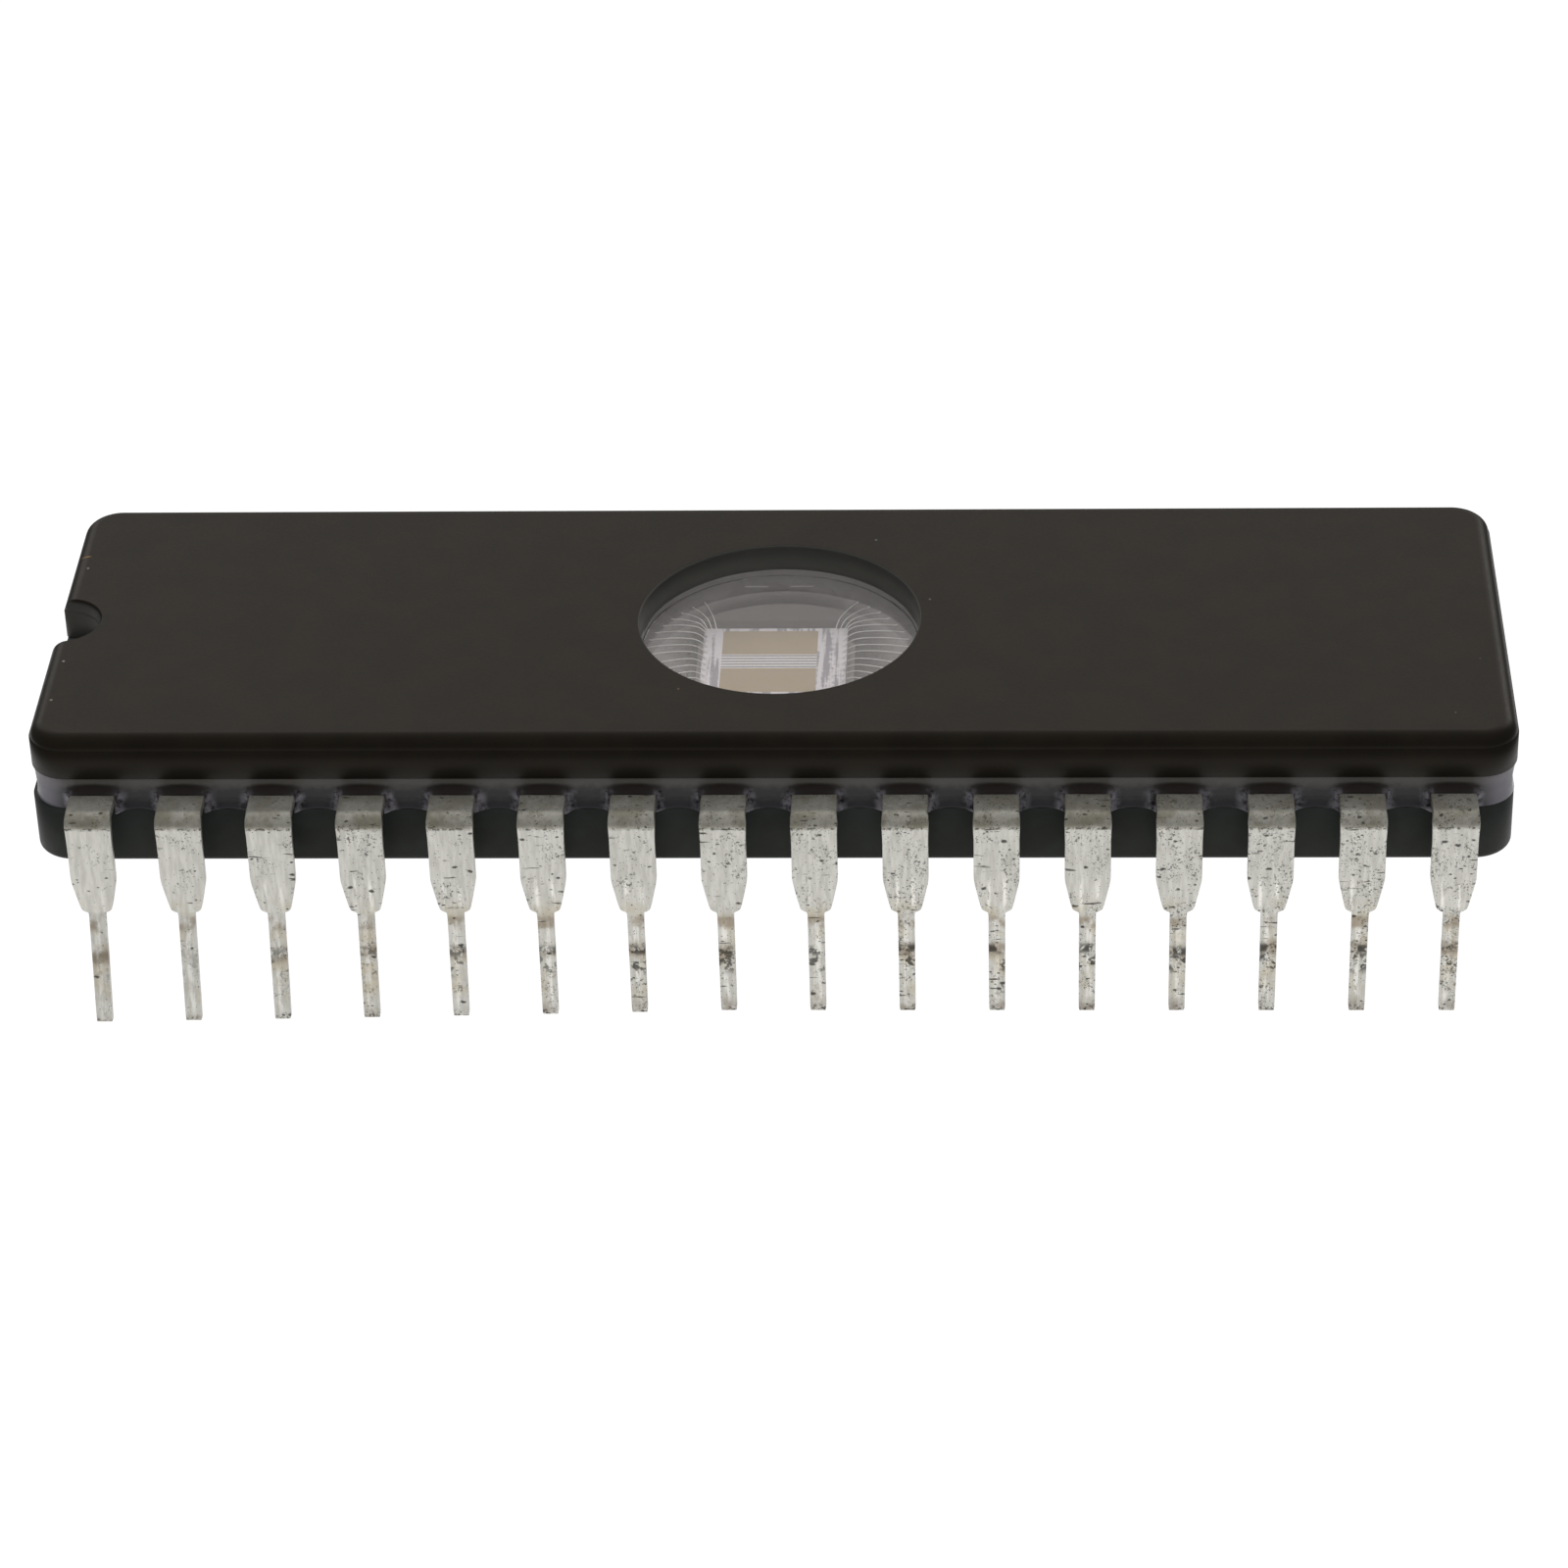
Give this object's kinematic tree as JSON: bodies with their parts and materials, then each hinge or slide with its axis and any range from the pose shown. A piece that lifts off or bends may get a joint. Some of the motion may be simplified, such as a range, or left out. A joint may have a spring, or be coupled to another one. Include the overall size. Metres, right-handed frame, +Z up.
{
  "type": "eprom chip",
  "caption": "Ceramic dual in-line memory chip with a round glass window over its die and rows of tapered plug-in leads along both long sides.",
  "frame": {"origin": "middle of the lead grid, on the plane of the lead tips", "axes": "+X along the lead rows away from the notched end, +Y from the row of leads 1 to 16 towards the row of leads 17 to 32, +Z up out of the window"},
  "size_m": [0.0418, 0.0161, 0.0083],
  "materials": {
    "base_ceramic": "matte dark pressed alumina",
    "cap_ceramic": "matte dark brown-black pressed alumina",
    "window_glass": "clear polished glass",
    "seal_glass": "dark grey glossy solder glass",
    "die_attach": "pale matte bonding layer",
    "silicon": "polished die with metal pattern",
    "bond_wire": "bright drawn wire",
    "lead_metal": "satin tin plate with handling marks"
  },
  "bodies": {
    "root": {"ceramic_base": "base_ceramic", "ceramic_cap": "cap_ceramic", "window_glass": "window_glass", "seal_glass": "seal_glass", "die_attach": "die_attach", "die": "silicon", "bond_wires_front_left": "bond_wire", "bond_wires_front_right": "bond_wire", "bond_wires_back_left": "bond_wire", "bond_wires_back_right": "bond_wire", "lead_01": "lead_metal", "lead_02": "lead_metal", "lead_03": "lead_metal", "lead_04": "lead_metal", "lead_05": "lead_metal", "lead_06": "lead_metal", "lead_07": "lead_metal", "lead_08": "lead_metal", "lead_09": "lead_metal", "lead_10": "lead_metal", "lead_11": "lead_metal", "lead_12": "lead_metal", "lead_13": "lead_metal", "lead_14": "lead_metal", "lead_15": "lead_metal", "lead_16": "lead_metal", "lead_17": "lead_metal", "lead_18": "lead_metal", "lead_19": "lead_metal", "lead_20": "lead_metal", "lead_21": "lead_metal", "lead_22": "lead_metal", "lead_23": "lead_metal", "lead_24": "lead_metal", "lead_25": "lead_metal", "lead_26": "lead_metal", "lead_27": "lead_metal", "lead_28": "lead_metal", "lead_29": "lead_metal", "lead_30": "lead_metal", "lead_31": "lead_metal", "lead_32": "lead_metal"}
  },
  "joints": []
}
